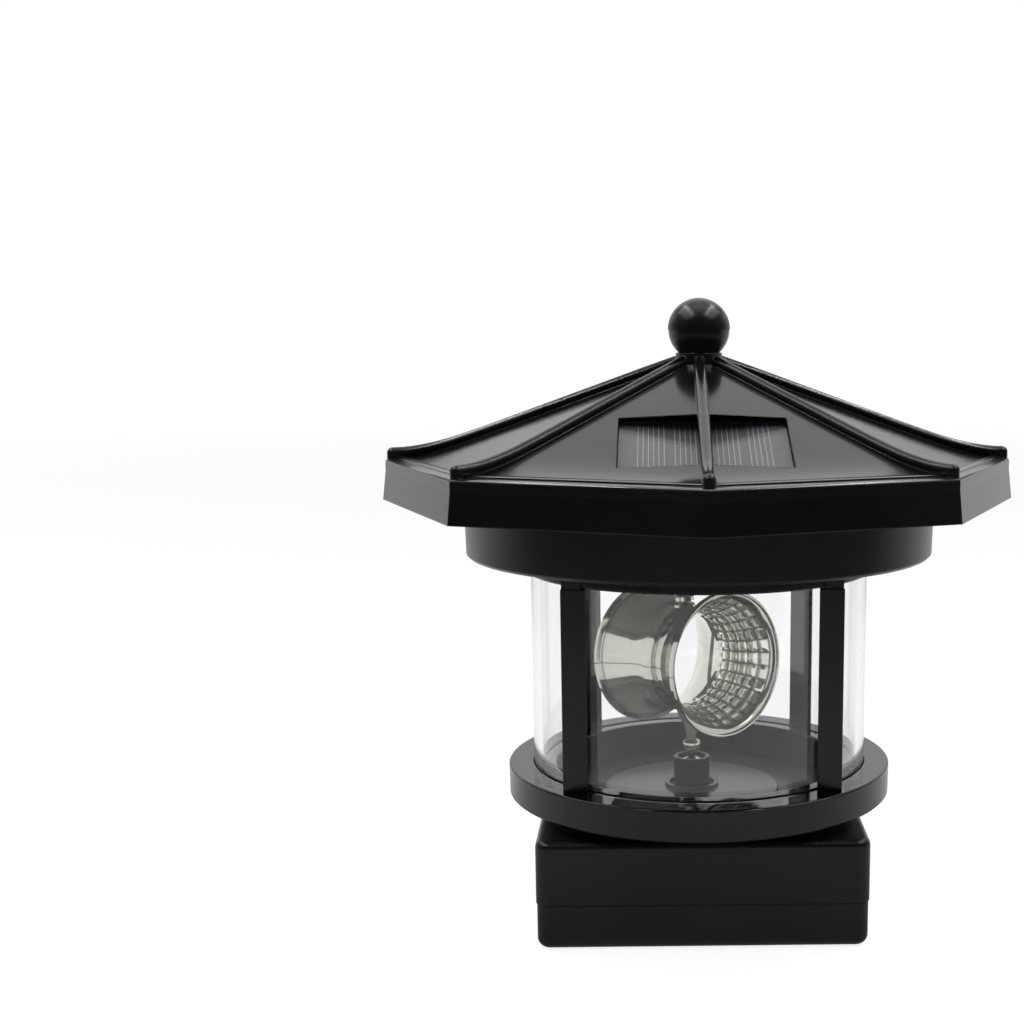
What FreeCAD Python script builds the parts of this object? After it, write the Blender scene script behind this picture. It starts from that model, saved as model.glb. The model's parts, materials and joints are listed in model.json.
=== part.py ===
import FreeCAD, Part
import math
import os
import Sketcher
from FreeCAD import Placement, Rotation, Vector

# Solar garden lighthouse lantern with a rotating lens.
# Millimetres, +Z up, origin at the middle of the resting face.
# Front (the side with the solar window) faces -Y.

doc = FreeCAD.newDocument("garden_lighthouse")
dims = doc.addObject("Spreadsheet::Sheet", "dims")

ROWS = [
    # square base box
    ("box_half", 36.6, "upper shell half width"),
    ("box_low_half", 36.4, "lower shell half width"),
    ("box_seam", 10.2, "height of the seam between the two box shells"),
    ("box_top", 24.4, "top face of the box"),
    ("box_wall", 2.0, "box wall"),
    ("box_corner", 3.0, "vertical corner radius"),
    ("box_foot_round", 2.2, "bottom edge radius"),
    ("box_head_round", 1.5, "top edge radius"),
    ("box_boss_at", 31.6, "corner boss position"),
    # round deck
    ("deck_rad", 44.76, "deck outer radius"),
    ("deck_low", 26.8, "underside of the deck rim"),
    ("deck_top", 33.95, "glossy top of the deck"),
    ("deck_floor", 26.4, "recessed floor"),
    ("deck_recess", 33.6, "radius of the recess"),
    ("deck_boss", 36.2, "radius of the boss that stands on the box"),
    ("groove_in", 36.7, "glass groove inner radius"),
    ("groove_out", 39.1, "glass groove outer radius"),
    ("groove_deep", 3.0, "glass groove depth"),
    # clear cylinder
    ("glass_rad", 38.9, "clear cylinder outer radius"),
    ("glass_wall", 2.0, "clear cylinder wall"),
    ("glass_head", 82.4, "top of the clear cylinder"),
    # posts
    ("post_face", 30.5, "outer faces of a corner post from the middle"),
    ("post_wide", 5.4, "visible width of a post"),
    ("post_hug", 39.2, "radius of the hollow back of a post"),
    ("post_head", 78.7, "shoulder of a post, where it narrows towards the drum"),
    ("post_neck", 0.2, "how far the neck stands back from the post faces"),
    ("post_pin_at", 29.1, "pin position"),
    ("post_pin", 1.0, "pin radius"),
    # drum and soffit
    ("drum_rad_low", 53.44, "drum radius at the bottom"),
    ("drum_rad_high", 53.8, "drum radius at the eave"),
    ("drum_low", 82.98, "underside of the drum"),
    ("drum_wall", 1.8, "drum wall"),
    ("lip_rad", 39.9, "lip ring outer radius"),
    ("lip_low", 79.05, "lip ring lower edge"),
    ("eave_low", 95.1, "lower edge of the fascia"),
    ("soffit_thick", 1.6, "soffit plate"),
    # roof
    ("eave_rad", 72.5, "octagon corner radius at the fascia foot"),
    ("fascia_rad", 71.5, "octagon corner radius at the fascia head"),
    ("fascia_top", 103.5, "where the fascia starts to round over"),
    ("roof_wall", 1.9, "roof shell thickness"),
    ("rib_rad", 1.35, "ridge rib radius"),
    ("knob_rad", 7.06, "ball radius"),
    ("knob_mid", 133.44, "height of the ball centre"),
    ("knob_seat", 128.3, "flat under the ball"),
    ("collar_rad", 5.2, "collar under the ball"),
    # solar window
    ("panel_tilt", 19.4, "slope of the panel in degrees"),
    ("panel_y", -49.5, "lower edge of the panel face"),
    ("panel_z", 106.05, "height of that edge"),
    ("panel_half", 17.6, "half width of the panel"),
    ("panel_long", 25.2, "panel length along the slope"),
    ("board_thick", 1.2, "cell board thickness"),
    ("cover_thick", 0.8, "clear cover thickness"),
    ("window_half", 17.75, "half width of the window"),
    # drive line
    ("axis_x", -1.7, "drive axis, a little left of the middle"),
    ("hub_rad", 4.23, "hub outer radius"),
    ("hub_bore", 3.3, "hub bore radius"),
    ("hub_top", 34.15, "hub rim"),
    ("hub_low", 16.4, "hub foot"),
    ("gear_module", 0.5, "gear module"),
    ("gear_low", 17.6, "gear underside"),
    ("gear_thick", 2.4, "gear face width"),
    ("spindle_rad", 2.9, "fixed spindle radius inside the hub"),
    ("bush_rad", 5.3, "bush outer radius"),
    ("collar_ring", 6.3, "raised collar radius on the deck floor"),
    ("plate_rad", 20.6, "floor plate radius"),
    ("plate_thick", 0.7, "floor plate thickness"),
    ("motor_rad", 8.0, "geared motor radius"),
    # lens
    ("lens_z", 57.9, "height of the lens axis"),
    ("lens_turn", 40.5, "rest direction of the bore from the front, degrees"),
    ("lens_half", 14.2, "half length of the lens"),
    ("lens_flange", 16.8, "flange radius"),
    ("lens_mouth", 15.9, "mouth inner radius"),
    ("lens_bell", 15.0, "bell inner radius behind the rim"),
    ("lens_throat", 10.4, "throat inner radius"),
    ("lens_band", 12.5, "middle collar radius"),
    ("lens_lean", 3.0, "lean of the lens to the left on its stem, degrees"),
    ("stem_bend", 36.8, "height of the stem ball, where the lean starts"),
    # battery
    ("cell_rad", 7.1, "battery radius"),
    ("cell_long", 48.6, "battery body length"),
    ("cell_y", 18.0, "battery position"),
    ("cell_z", 9.7, "battery axis height"),
    ("door_thick", 1.1, "battery door thickness"),
]
SIZE = {}
for i, (alias, value, note) in enumerate(ROWS, 1):
    dims.set("A%d" % i, alias)
    dims.set("B%d" % i, str(value))
    dims.set("C%d" % i, note)
    dims.setAlias("B%d" % i, alias)
    SIZE[alias] = float(value)
doc.recompute()


class Q:
    """A number together with the sheet expression that gives it."""

    def __init__(self, v, e):
        self.v, self.e = float(v), e

    def __add__(self, o):
        o = q(o)
        return Q(self.v + o.v, "(%s + %s)" % (self.e, o.e))

    def __radd__(self, o):
        return q(o) + self

    def __sub__(self, o):
        o = q(o)
        return Q(self.v - o.v, "(%s - %s)" % (self.e, o.e))

    def __rsub__(self, o):
        return q(o) - self

    def __mul__(self, o):
        o = q(o)
        return Q(self.v * o.v, "(%s * %s)" % (self.e, o.e))

    def __rmul__(self, o):
        return q(o) * self

    def __truediv__(self, o):
        o = q(o)
        return Q(self.v / o.v, "(%s / %s)" % (self.e, o.e))

    def __neg__(self):
        return q(0) - self


def q(x):
    return x if isinstance(x, Q) else Q(x, repr(float(x)))


def d(alias):
    return Q(SIZE[alias], "dims." + alias)


NODES = []
COUNT = [0]


def uid(name):
    COUNT[0] += 1
    return "%s_%d" % (name, COUNT[0])


def bind(obj, prop, x, unit=True):
    x = q(x)
    if "dims." in x.e:
        obj.setExpression(prop, x.e)
    return x.v


def put(obj, x=0, y=0, z=0, rot=None):
    x, y, z = q(x), q(y), q(z)
    obj.Placement = Placement(Vector(x.v, y.v, z.v), rot or Rotation())
    for axis, val in (("x", x), ("y", y), ("z", z)):
        if "dims." in val.e:
            obj.setExpression("Placement.Base." + axis, val.e)
    return obj


def cyl(r, h, x=0, y=0, z=0, rot=None, name="cyl"):
    o = doc.addObject("Part::Cylinder", uid(name))
    o.Radius = bind(o, "Radius", r)
    o.Height = bind(o, "Height", h)
    return put(o, x, y, z, rot)


def cone(r1, r2, h, x=0, y=0, z=0, rot=None, name="cone"):
    o = doc.addObject("Part::Cone", uid(name))
    o.Radius1 = bind(o, "Radius1", r1)
    o.Radius2 = bind(o, "Radius2", r2)
    o.Height = bind(o, "Height", h)
    return put(o, x, y, z, rot)


def box(x0, x1, y0, y1, z0, z1, name="box"):
    o = doc.addObject("Part::Box", uid(name))
    o.Length = bind(o, "Length", q(x1) - x0)
    o.Width = bind(o, "Width", q(y1) - y0)
    o.Height = bind(o, "Height", q(z1) - z0)
    return put(o, x0, y0, z0)


def octagon(rad, z, name="octagon"):
    o = doc.addObject("Part::RegularPolygon", uid(name))
    o.Polygon = 8
    o.Circumradius = bind(o, "Circumradius", rad)
    return put(o, 0, 0, z)


def loft(sections, ruled, name="loft"):
    o = doc.addObject("Part::Loft", uid(name))
    o.Sections = sections
    o.Solid = True
    o.Ruled = ruled
    return o


def cut(a, b, name="cut"):
    o = doc.addObject("Part::Cut", uid(name))
    o.Base, o.Tool = a, b
    return o


def fuse(*objs, name="fuse"):
    o = doc.addObject("Part::MultiFuse", uid(name))
    o.Shapes = list(objs)
    o.Refine = False
    return o


def common(a, b, name="common"):
    o = doc.addObject("Part::MultiCommon", uid(name))
    o.Shapes = [a, b]
    return o


def coded(shape, name="made"):
    o = doc.addObject("Part::Feature", uid(name))
    o.Shape = shape
    return o


def group(*objs, name="group"):
    o = doc.addObject("Part::Compound", uid(name))
    o.Links = list(objs)
    return o


def node(obj, label):
    obj.Label = label
    NODES.append(obj)
    return obj


def sketch_loop(body, name, pts, plane="XZ_Plane"):
    """Closed chain of straight lines, every corner held by two dimensions."""
    sk = body.newObject("Sketcher::SketchObject", name)
    base = [f for f in body.Origin.OriginFeatures if f.Role == plane][0]
    sk.AttachmentSupport = [(base, "")]
    sk.MapMode = "FlatFace"
    pts = [(q(a), q(b)) for a, b in pts]
    n = len(pts)
    for i in range(n):
        a, b = pts[i], pts[(i + 1) % n]
        sk.addGeometry(Part.LineSegment(Vector(a[0].v, a[1].v, 0), Vector(b[0].v, b[1].v, 0)), False)
    for i in range(n):
        sk.addConstraint(Sketcher.Constraint("Coincident", i, 2, (i + 1) % n, 1))
    for i, (a, b) in enumerate(pts):
        if abs(a.v) < 1e-9:
            sk.addConstraint(Sketcher.Constraint("PointOnObject", i, 1, -2))
        else:
            c = sk.addConstraint(Sketcher.Constraint("DistanceX", -1, 1, i, 1, a.v))
            if "dims." in a.e:
                sk.renameConstraint(c, "px%d" % i)
                sk.setExpression("Constraints.px%d" % i, a.e)
        if abs(b.v) < 1e-9:
            sk.addConstraint(Sketcher.Constraint("PointOnObject", i, 1, -1))
        else:
            c = sk.addConstraint(Sketcher.Constraint("DistanceY", -1, 1, i, 1, b.v))
            if "dims." in b.e:
                sk.renameConstraint(c, "py%d" % i)
                sk.setExpression("Constraints.py%d" % i, b.e)
    return sk


def turned(label, pts, x=0, y=0, z=0, rot=None):
    """A turned piece: profile (radius, height) spun about the vertical."""
    body = doc.addObject("PartDesign::Body", uid(label))
    sk = sketch_loop(body, uid(label + "_profile"), pts)
    rev = body.newObject("PartDesign::Revolution", uid(label + "_turn"))
    rev.Profile = sk
    rev.ReferenceAxis = (sk, ["V_Axis"])
    rev.Angle = 360
    body.Tip = rev
    return put(body, x, y, z, rot)


def block(label, half, z0, z1, corner, round_at, round_rad):
    """Square block with rounded upright corners and one rounded rim."""
    half, z0, z1 = q(half), q(z0), q(z1)
    body = doc.addObject("PartDesign::Body", uid(label))
    sk = sketch_loop(body, uid(label + "_plan"),
                     [(half, half), (-half, half), (-half, -half), (half, -half)], "XY_Plane")
    pad = body.newObject("PartDesign::Pad", uid(label + "_pad"))
    pad.Profile = sk
    pad.Length = bind(pad, "Length", z1 - z0)
    doc.recompute()
    names = ["Edge%d" % (i + 1) for i, e in enumerate(pad.Shape.Edges)
             if abs(e.Vertexes[0].Z - e.Vertexes[-1].Z) > 1]
    fil = body.newObject("PartDesign::Fillet", uid(label + "_corners"))
    fil.Base = (pad, names)
    fil.Radius = bind(fil, "Radius", corner)
    body.Tip = fil
    doc.recompute()
    level = (z1 - z0).v if round_at == "top" else 0.0
    names = ["Edge%d" % (i + 1) for i, e in enumerate(fil.Shape.Edges)
             if abs(e.BoundBox.ZMin - level) < 1e-6 and abs(e.BoundBox.ZMax - level) < 1e-6]
    rim = body.newObject("PartDesign::Fillet", uid(label + "_rim"))
    rim.Base = (fil, names)
    rim.Radius = bind(rim, "Radius", round_rad)
    body.Tip = rim
    return put(body, 0, 0, z0)


def wire(label, pts, r, bend):
    """Insulated lead: straight runs joined by tangent arcs, round section."""
    p = [Vector(*a) for a in pts]
    edges, at = [], p[0]
    length = 0.0
    for i in range(1, len(p) - 1):
        a = (p[i - 1] - p[i]).normalize()
        b = (p[i + 1] - p[i]).normalize()
        ang = a.getAngle(b)
        t = bend / math.tan(ang / 2)
        s, e = p[i] + a * t, p[i] + b * t
        mid_dir = (a + b).normalize()
        mid = p[i] + mid_dir * (bend / math.sin(ang / 2) - bend)
        edges.append(Part.LineSegment(at, s).toShape())
        length += (s - at).Length
        arc = Part.Arc(s, mid, e).toShape()
        edges.append(arc)
        length += arc.Length
        at = e
    edges.append(Part.LineSegment(at, p[-1]).toShape())
    length += (p[-1] - at).Length
    path = Part.Wire(edges)
    ring = Part.Wire([Part.makeCircle(r, p[0], p[1] - p[0])])
    shape = path.makePipeShell([ring], True, False)
    want = math.pi * r * r * length
    print("%s length %.1f volume %.2f of %.2f" % (label, length, shape.Volume, want))
    if abs(shape.Volume - want) > 0.03 * want:
        raise RuntimeError(label + " has the wrong volume")
    return coded(shape, label)


def spread(make, places):
    return group(*[make(x, y) for x, y in places])


# ---------------------------------------------------------------- base box
floor_in = d("box_wall")
at = d("box_boss_at")
CORNERS = [(at, at), (-at, at), (-at, -at), (at, -at)]

low = block("box_lower", d("box_low_half"), 0, d("box_seam"), d("box_corner"), "bottom", d("box_foot_round"))
low_in = box(d("box_wall") - d("box_low_half"), d("box_low_half") - d("box_wall"),
             d("box_wall") - d("box_low_half"), d("box_low_half") - d("box_wall"), floor_in, d("box_seam") + 1)
low = cut(low, low_in)
adds = [cyl(2.6, d("box_seam") - 1.1, x, y, 1.0) for x, y in CORNERS]
bay_out = box(-28.9, 28.9, d("cell_y") - 8.7, d("cell_y") + 8.3, 1.2, 9.4)
adds.append(bay_out)
adds.append(cyl(5.4, 3.2, d("axis_x"), 0, 1.8))                       # spindle socket
adds += [cyl(2.1, 4.0, x, d("cell_y"), 1.2) for x in (-30.2, 30.2)]    # door screw bosses
low = fuse(low, *adds)
tools = [cyl(1.25, 14, x, y, -1) for x, y in CORNERS]
tools += [cyl(2.45, 2.4, x, y, -0.4) for x, y in CORNERS]
tools.append(box(-27.9, 27.9, d("cell_y") - 7.5, d("cell_y") + 7.4, 1.9, 10))
tools.append(box(-26.6, 26.6, d("cell_y") - 7.3, d("cell_y") + 7.3, -1, 3))
tools.append(box(-32.4, 32.4, d("cell_y") - 8.1, d("cell_y") + 8.1, -1, 1.2))
tools += [cyl(0.8, 3.4, x, d("cell_y"), 1.0) for x in (-30.2, 30.2)]
tools.append(cyl(3.95, 3.4, d("axis_x"), 0, 2.0))
tools.append(box(d("axis_x") - 7, d("axis_x"), -1.1, 1.1, 2.0, 6))     # lead slot in the socket
tools.append(box(-23.0, -15.4, -21.6, -18.4, -1, 3))                   # switch slot
lower_shell = node(cut(low, group(*tools)), "base_lower_shell")

up = block("box_upper", d("box_half"), d("box_seam") + 0.05, d("box_top"), d("box_corner"), "top", d("box_head_round"))
up_in = box(d("box_wall") - d("box_half"), d("box_half") - d("box_wall"),
            d("box_wall") - d("box_half"), d("box_half") - d("box_wall"), 5, d("box_top") - d("box_wall"))
up = cut(up, up_in)
ceil = d("box_top") - d("box_wall")
MOTOR_Y = -12.5
EARS = [(d("axis_x") - 11.0, MOTOR_Y), (d("axis_x") + 11.0, MOTOR_Y)]
PCB_POSTS = [(-16.0, 26.0), (8.0, 26.0)]
adds = [cyl(2.5, ceil - 10.2 + 0.2, x, y, 10.3) for x, y in CORNERS]
adds += [cyl(2.3, ceil - 15.75 + 0.2, x, y, 15.75) for x, y in EARS]
adds += [cyl(1.8, ceil - 21.2 + 0.2, x, y, 21.2) for x, y in PCB_POSTS]
up = fuse(up, *adds)
DISK = [(24.6, 24.6), (-24.6, 24.6), (-24.6, -24.6), (24.6, -24.6)]
tools = [cyl(0.85, 10, x, y, 10.0) for x, y in CORNERS]
tools += [cyl(0.8, 4.4, x, y, 15.0) for x, y in EARS]
tools += [cyl(0.75, 2.6, x, y, 20.0) for x, y in PCB_POSTS]
tools += [cyl(1.3, 6, x, y, 20) for x, y in DISK]
tools.append(cyl(5.6, 6, d("axis_x"), 0, 20))
tools.append(cyl(2.0, 6, -d("post_pin_at"), d("post_pin_at"), 20))
upper_shell = node(cut(up, group(*tools)), "base_upper_shell")


def screw(r, head_r, head_h, length, x, y, z, up=True, slot=True):
    """Pan head screw with a cross recess. z is the face under the head."""
    head = cyl(head_r, head_h, x, y, q(z) - head_h if up else z)
    shank = cyl(r, length, x, y, z if up else q(z) - length)
    tip_z = q(z) + length if up else q(z) - length - 0.8
    tip = cone(r, 0.2, 0.8, x, y, tip_z) if up else cone(0.2, r, 0.8, x, y, tip_z)
    body = fuse(head, shank, tip)
    zz = q(z) - head_h - 0.1 if up else q(z) + head_h - head_h * 0.6 + 0.1
    a = box(q(x) - head_r * 0.55, q(x) + head_r * 0.55, q(y) - 0.22, q(y) + 0.22, zz, zz + head_h * 0.6)
    b = box(q(x) - 0.22, q(x) + 0.22, q(y) - head_r * 0.55, q(y) + head_r * 0.55, zz, zz + head_h * 0.6)
    return cut(body, fuse(a, b))


node(group(*[screw(0.85, 2.2, 1.5, 14.0, x, y, 2.0) for x, y in CORNERS]), "base_screws")
node(group(*[screw(1.05, 2.0, 1.4, 8.0, x, y, ceil) for x, y in DISK]), "deck_screws")

door = box(-32.2, 32.2, d("cell_y") - 7.9, d("cell_y") + 7.9, 0.05, q(0.05) + d("door_thick"))
door_holes = [cyl(1.1, 4, x, d("cell_y"), -1) for x in (-30.2, 30.2)]
door_sinks = [cyl(1.75, 0.75, x, d("cell_y"), -0.1) for x in (-30.2, 30.2)]
grip = [box(-6 + 3 * i, -4.9 + 3 * i, d("cell_y") - 3, d("cell_y") + 3, -0.2, 0.35) for i in range(5)]
battery_door = node(cut(door, group(*(door_holes + door_sinks + grip))), "battery_door")
node(group(*[screw(0.8, 1.6, 0.5, 2.4, x, d("cell_y"), 0.65) for x in (-30.2, 30.2)]), "battery_door_screws")

can = cyl(d("cell_rad"), d("cell_long"), -(d("cell_long") / 2) - 0.6, d("cell_y"), d("cell_z"), Rotation(Vector(0, 1, 0), 90))
nub = cyl(2.7, 1.2, d("cell_long") / 2 - 0.6, d("cell_y"), d("cell_z"), Rotation(Vector(0, 1, 0), 90))
battery = node(fuse(can, nub), "battery_cell")
plate = box(25.0, 25.4, d("cell_y") - 4.5, d("cell_y") + 4.5, 4.2, 13.6)
tab = box(25.0, 27.85, d("cell_y") - 1.5, d("cell_y") + 1.5, 4.2, 4.6)
node(fuse(plate, tab), "battery_contact_plus")
helix = Part.makeHelix(0.62, 1.6, 3.6)
spring_ring = Part.Wire([Part.makeCircle(0.22, Vector(3.6, 0, 0), Vector(0, 1, 0))])
coil = Part.Wire(helix.Edges).makePipeShell([spring_ring], True, True)
coil.Placement = Placement(Vector(-27.15, SIZE["cell_y"], SIZE["cell_z"]), Rotation(Vector(0, 1, 0), 90))
coil = coded(coil, "coil")
back = box(-27.8, -27.35, d("cell_y") - 5, d("cell_y") + 5, 4.6, 14.4)
node(fuse(coil, back), "battery_contact_spring")

# slide switch, worked from below through the slot in the lower shell
sw = box(-24.2, -14.2, -22.6, -17.4, 2.05, 6.4)
sw_in = box(-23.3, -15.1, -21.5, -18.5, 1.5, 4.3)
node(cut(sw, sw_in), "switch_housing")
knob_a = box(-22.9, -18.2, -21.3, -18.7, 2.5, 3.9)
knob_b = box(-21.6, -19.4, -21.0, -19.0, 0.35, 2.6)
knob_c = [box(-21.3 + 0.62 * i, -21.05 + 0.62 * i, -21.1, -18.9, 0.3, 0.55) for i in range(3)]
node(cut(fuse(knob_a, knob_b), group(*knob_c)), "switch_slider")

# ------------------------------------------------------------------- deck
AX = d("axis_x")
deck_round = turned("deck_blank", [
    (0, d("box_top")), (d("deck_boss"), d("box_top")), (d("deck_boss"), d("deck_low")),
    (d("deck_rad") - 0.5, d("deck_low")), (d("deck_rad") - 0.1, d("deck_low") + 0.4),
    (d("deck_rad"), d("deck_top") - 0.3), (d("deck_rad") - 0.3, d("deck_top")),
    (d("groove_out"), d("deck_top")), (d("groove_out"), d("deck_top") - d("groove_deep")),
    (d("groove_in"), d("deck_top") - d("groove_deep")), (d("groove_in"), d("deck_top")),
    (d("deck_recess") + 0.3, d("deck_top")), (d("deck_recess"), d("deck_top") - 0.3),
    (d("deck_recess"), d("deck_floor")), (0, d("deck_floor"))])
spigot = cyl(1.9, d("deck_low") - d("box_top") + 0.5, -d("post_pin_at"), d("post_pin_at"), d("box_top"))
collar = cyl(d("collar_ring"), 1.5, AX, 0, d("deck_floor"))
deck_a = fuse(deck_round, spigot, collar)
PINS = [(d("post_pin_at"), -d("post_pin_at")), (d("post_pin_at"), d("post_pin_at")),
        (-d("post_pin_at"), d("post_pin_at")), (-d("post_pin_at"), -d("post_pin_at"))]
tools = [cyl(d("bush_rad"), 10, AX, 0, 20)]
tools += [cyl(d("post_pin"), 3.2, x, y, d("deck_top") - 3.0) for x, y in PINS]
tools += [cyl(1.05, 7.9, x, y, 23.4) for x, y in DISK]
tools.append(cyl(0.7, 20, -d("post_pin_at"), d("post_pin_at"), 20))
node(cut(deck_a, group(*tools)), "gallery_deck")

plate = turned("floor_plate_blank", [
    (d("collar_ring") + 0.05, d("deck_floor")), (d("plate_rad"), d("deck_floor")),
    (d("plate_rad"), d("deck_floor") + d("plate_thick") - 0.2), (d("plate_rad") - 0.2, d("deck_floor") + d("plate_thick")),
    (d("collar_ring") + 0.05, d("deck_floor") + d("plate_thick"))], AX)
node(plate, "deck_floor_plate")
node(turned("bush_blank", [
    (d("hub_rad") + 0.05, 22.5), (d("bush_rad"), 22.5), (d("bush_rad"), 26.9), (d("hub_rad") + 0.35, 26.9),
    (d("hub_rad") + 0.05, 26.6)], AX), "hub_bush")

# ---------------------------------------------------------- clear cylinder
g_in = d("glass_rad") - d("glass_wall")
node(turned("glass_blank", [
    (g_in, 31.55), (d("glass_rad"), 31.55), (d("glass_rad"), d("glass_head") - 0.2),
    (d("glass_rad") - 0.2, d("glass_head")), (g_in + 0.2, d("glass_head")), (g_in, d("glass_head") - 0.2)]), "glass_cylinder")
node(turned("seal_low", [(g_in, 30.95), (d("glass_rad"), 30.95), (d("glass_rad"), 31.55), (g_in, 31.55)]), "glass_seal_lower")
node(turned("seal_high", [(g_in, d("glass_head")), (d("glass_rad"), d("glass_head")),
                          (d("glass_rad"), d("drum_low")), (g_in, d("drum_low"))]), "glass_seal_upper")

# ------------------------------------------------------------------ posts
face, wide = d("post_face"), d("post_wide")
for label, sx, sy in (("post_front_left", -1, -1), ("post_front_right", 1, -1),
                      ("post_back_right", 1, 1), ("post_back_left", -1, 1)):
    x0, x1 = (face - wide, face) if sx > 0 else (-face, wide - face)
    y0, y1 = (face - wide, face) if sy > 0 else (-face, wide - face)
    bar = box(x0, x1, y0, y1, d("deck_top"), d("post_head"))
    f0, f1, nk = SIZE["post_face"], SIZE["post_face"] - SIZE["post_wide"], SIZE["post_neck"]

    def plan(z, back):
        a, b = f1, f0 - back
        pts = [Vector(sx * u, sy * v, z) for u, v in ((a, a), (b, a), (b, b), (a, b), (a, a))]
        return Part.makePolygon(pts)
    head = SIZE["post_head"]
    shoulder = coded(Part.makeLoft([plan(head, 0.0), plan(head + nk, nk)], True, True), "shoulder")
    nx0, nx1 = (face - wide, face - d("post_neck")) if sx > 0 else (d("post_neck") - face, wide - face)
    ny0, ny1 = (face - wide, face - d("post_neck")) if sy > 0 else (d("post_neck") - face, wide - face)
    neck = box(nx0, nx1, ny0, ny1, d("post_head") + d("post_neck"), d("drum_low"))
    px, py = sx * d("post_pin_at"), sy * d("post_pin_at")
    pin = cyl(d("post_pin"), d("drum_low") - d("deck_top") + 4.4, px, py, d("deck_top") - 2.9)
    hug = cyl(d("post_hug"), 80, 0, 0, 20)
    lip_gap = cyl(d("lip_rad") + 0.05, 10, 0, 0, d("lip_low") - 0.05)
    solid = fuse(cut(fuse(bar, shoulder, neck), fuse(hug, lip_gap)), pin)
    if label == "post_back_left":
        solid = cut(solid, cyl(0.62, 90, px, py, 10))      # lead channel
    node(solid, label)

# ------------------------------------------------- drum, soffit, lip ring
sof_hi = d("eave_low") + 0.2 + d("soffit_thick")
drum = turned("drum_blank", [
    (0, d("drum_low")), (g_in - 0.0, d("drum_low")), (d("lip_rad") - 0.8, d("drum_low")),
    (d("lip_rad") - 0.8, d("lip_low") + 0.2), (d("lip_rad") - 0.6, d("lip_low")), (d("lip_rad") - 0.25, d("lip_low")),
    (d("lip_rad"), d("lip_low") + 0.3), (d("lip_rad"), d("drum_low")), (d("drum_rad_low") - 0.6, d("drum_low")),
    (d("drum_rad_low"), d("drum_low") + 0.6), (d("drum_rad_high"), sof_hi),
    (d("drum_rad_high") - d("drum_wall"), sof_hi), (d("drum_rad_low") - d("drum_wall"), d("drum_low") + 2.0),
    (0, d("drum_low") + 2.0)])
soffit = loft([octagon(d("fascia_rad") - 1.6, d("eave_low") + 0.2), octagon(d("fascia_rad") - 1.6, sof_hi)], True)
soffit_hole = cyl(d("drum_rad_high") - d("drum_wall"), 6, 0, 0, d("eave_low") - 2)
drum = fuse(drum, cut(soffit, soffit_hole))
BOSS = []
for j in range(4):
    a = math.radians(22.5 + 90 * j)
    BOSS.append((60.5 * math.cos(a), 60.5 * math.sin(a)))
tools = [cyl(d("post_pin") + 0.02, 6, x, y, d("drum_low") - 1) for x, y in PINS]
tools += [cyl(1.2, 6, x, y, d("eave_low") - 1) for x, y in BOSS]
tools += [cyl(2.2, 1.4, x, y, d("eave_low") - 0.5) for x, y in BOSS]
node(cut(drum, group(*tools)), "drum_and_soffit")

# ------------------------------------------------------------------- roof
RAIL = [(71.35, 104.25), (69.5, 104.45), (66.0, 104.95), (62.0, 105.75), (58.0, 106.85), (54.0, 108.15),
        (50.0, 109.55), (40.0, 113.15), (30.0, 116.8), (20.0, 120.45), (10.0, 124.1), (5.5, 125.75)]
fascia = loft([octagon(d("eave_rad"), d("eave_low")), octagon(d("fascia_rad"), d("fascia_top")),
               octagon(d("fascia_rad") - 0.03, d("fascia_top") + 0.35), octagon(71.36, 104.1), octagon(71.2, 104.26)], True)
slope = loft([octagon(r, z) for r, z in [(71.2, 104.26)] + RAIL[1:]], False)
outer = fuse(fascia, slope)
wall = d("roof_wall")
hollow_low = loft([octagon(d("eave_rad") - 1.75, d("eave_low") - 1.0), octagon(d("fascia_rad") - 1.5, d("eave_low") + 0.0),
                   octagon(d("fascia_rad") - 1.5, q(102.4))], True)
hollow_top = loft([octagon(r if r < 69 else 70.0 if r > 70 else 68.6, q(z) - wall) for r, z in RAIL[:-1]], False)
outer2 = fuse(loft([octagon(d("eave_rad"), d("eave_low")), octagon(71.3, 104.2)], True),
              loft([octagon(r, z) for r, z in [(71.2, 104.2)] + RAIL[1:]], False))

tilt = Rotation(Vector(1, 0, 0), SIZE["panel_tilt"])
ct, st = math.cos(math.radians(SIZE["panel_tilt"])), math.sin(math.radians(SIZE["panel_tilt"]))


def tilted(x0, x1, u0, u1, n0, n1, name="tilted"):
    """Box in the panel's own frame: u runs up the slope, n out of it."""
    o = doc.addObject("Part::Box", uid(name))
    o.Length = bind(o, "Length", q(x1) - x0)
    o.Width = bind(o, "Width", q(u1) - u0)
    o.Height = bind(o, "Height", q(n1) - n0)
    u0, n0 = q(u0), q(n0)
    return put(o, x0, d("panel_y") + u0 * ct - n0 * st, d("panel_z") + u0 * st + n0 * ct, tilt)


cradle = common(tilted(-19.4, 19.4, -1.6, 27.2, -3.6, 12), outer2)
DIR = (-0.972, 0.237)


def yz(t, p):
    return (p[0] + DIR[0] * t, p[1] + DIR[1] * t)


top_in, bot_in = (-25.55, 114.48), (-49.5, 106.06)
poly = [Vector(0, *top_in), Vector(0, *yz(16, top_in)), Vector(0, *yz(16, bot_in)), Vector(0, *bot_in)]
face_ = Part.Face(Part.makePolygon(poly + [poly[0]]))
face_.translate(Vector(-SIZE["window_half"], 0, 0))
window = coded(face_.extrude(Vector(2 * SIZE["window_half"], 0, 0)), "window")
slot = tilted(-d("window_half"), d("window_half"), -0.05, d("panel_long") + 0.1,
              -(d("board_thick") + d("cover_thick")) - 0.02, 0.02)
lead_hole = cyl(1.0, 12, -10, -31, 102)

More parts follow.
